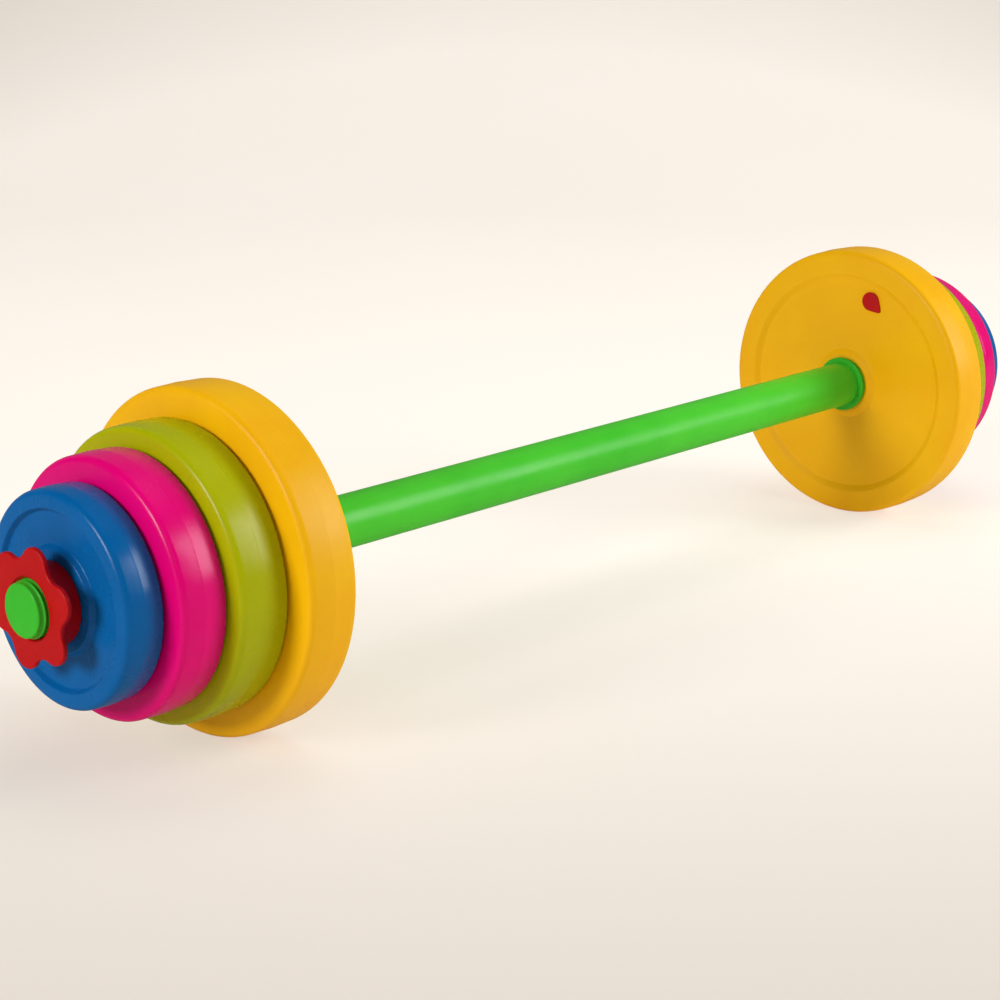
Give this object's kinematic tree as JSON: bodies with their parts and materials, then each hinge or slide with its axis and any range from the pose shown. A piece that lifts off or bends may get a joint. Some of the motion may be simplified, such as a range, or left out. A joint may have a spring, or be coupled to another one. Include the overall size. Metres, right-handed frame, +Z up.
{
  "type": "toy barbell",
  "caption": "Toy barbell: a round bar with stepped stacks of hollow turning plates at both ends, held by flower-shaped nuts, with pull-out fill plugs.",
  "frame": {"origin": "middle of the bar, on its axis", "axes": "+X along the bar towards its right end, +Z up; the yellow plates stand on z = -0.0777 m"},
  "size_m": [0.6908, 0.1554, 0.1554],
  "materials": {
    "green_plastic": "satin-gloss moulded plastic",
    "dark_green_plastic": "satin-gloss moulded plastic",
    "yellow_plastic": "satin-gloss moulded plastic",
    "lime_plastic": "satin-gloss moulded plastic",
    "magenta_plastic": "satin-gloss moulded plastic",
    "blue_plastic": "satin-gloss moulded plastic",
    "red_plastic": "satin-gloss moulded plastic"
  },
  "bodies": {
    "bar": {"bar_tube": "green_plastic", "end_spindle_left": "dark_green_plastic", "end_spindle_right": "dark_green_plastic"},
    "yellow_plate_left": {"yellow_plate_left": "yellow_plastic"},
    "lime_plate_left": {"lime_plate_left": "lime_plastic", "lime_plug_left": "red_plastic"},
    "magenta_plate_left": {"magenta_plate_left": "magenta_plastic", "magenta_plug_left": "red_plastic"},
    "blue_plate_left": {"blue_plate_left": "blue_plastic", "blue_plug_left": "red_plastic"},
    "yellow_plug_left": {"yellow_plug_left": "red_plastic"},
    "flower_nut_left": {"flower_nut_left": "red_plastic"},
    "yellow_plate_right": {"yellow_plate_right": "yellow_plastic"},
    "lime_plate_right": {"lime_plate_right": "lime_plastic", "lime_plug_right": "red_plastic"},
    "magenta_plate_right": {"magenta_plate_right": "magenta_plastic", "magenta_plug_right": "red_plastic"},
    "blue_plate_right": {"blue_plate_right": "blue_plastic", "blue_plug_right": "red_plastic"},
    "yellow_plug_right": {"yellow_plug_right": "red_plastic"},
    "flower_nut_right": {"flower_nut_right": "red_plastic"}
  },
  "joints": [
    {"name": "yellow_plate_left_spin", "type": "hinge", "parent": "bar", "child": "yellow_plate_left", "pos_m": [-0.24535, 0, 0], "axis": [1, 0, 0], "continuous": true},
    {"name": "lime_plate_left_spin", "type": "hinge", "parent": "bar", "child": "lime_plate_left", "pos_m": [-0.2719, 0, 0], "axis": [1, 0, 0], "continuous": true},
    {"name": "magenta_plate_left_spin", "type": "hinge", "parent": "bar", "child": "magenta_plate_left", "pos_m": [-0.29685, 0, 0], "axis": [1, 0, 0], "continuous": true},
    {"name": "blue_plate_left_spin", "type": "hinge", "parent": "bar", "child": "blue_plate_left", "pos_m": [-0.31875, 0, 0], "axis": [1, 0, 0], "continuous": true},
    {"name": "yellow_plug_left_pull", "type": "slide", "parent": "yellow_plate_left", "child": "yellow_plug_left", "axis": [1, 0, 0], "range_m": [0, 0.012]},
    {"name": "flower_nut_left_unscrew", "type": "hinge", "parent": "bar", "child": "flower_nut_left", "pos_m": [-0.3352, 0, 0], "axis": [-1, 0, 0], "range_deg": [0, 1080]},
    {"name": "yellow_plate_right_spin", "type": "hinge", "parent": "bar", "child": "yellow_plate_right", "pos_m": [0.24535, 0, 0], "axis": [1, 0, 0], "continuous": true},
    {"name": "lime_plate_right_spin", "type": "hinge", "parent": "bar", "child": "lime_plate_right", "pos_m": [0.2719, 0, 0], "axis": [1, 0, 0], "continuous": true},
    {"name": "magenta_plate_right_spin", "type": "hinge", "parent": "bar", "child": "magenta_plate_right", "pos_m": [0.29685, 0, 0], "axis": [1, 0, 0], "continuous": true},
    {"name": "blue_plate_right_spin", "type": "hinge", "parent": "bar", "child": "blue_plate_right", "pos_m": [0.31875, 0, 0], "axis": [1, 0, 0], "continuous": true},
    {"name": "yellow_plug_right_pull", "type": "slide", "parent": "yellow_plate_right", "child": "yellow_plug_right", "axis": [-1, 0, 0], "range_m": [0, 0.012]},
    {"name": "flower_nut_right_unscrew", "type": "hinge", "parent": "bar", "child": "flower_nut_right", "pos_m": [0.3352, 0, 0], "axis": [1, 0, 0], "range_deg": [0, 1080]}
  ]
}
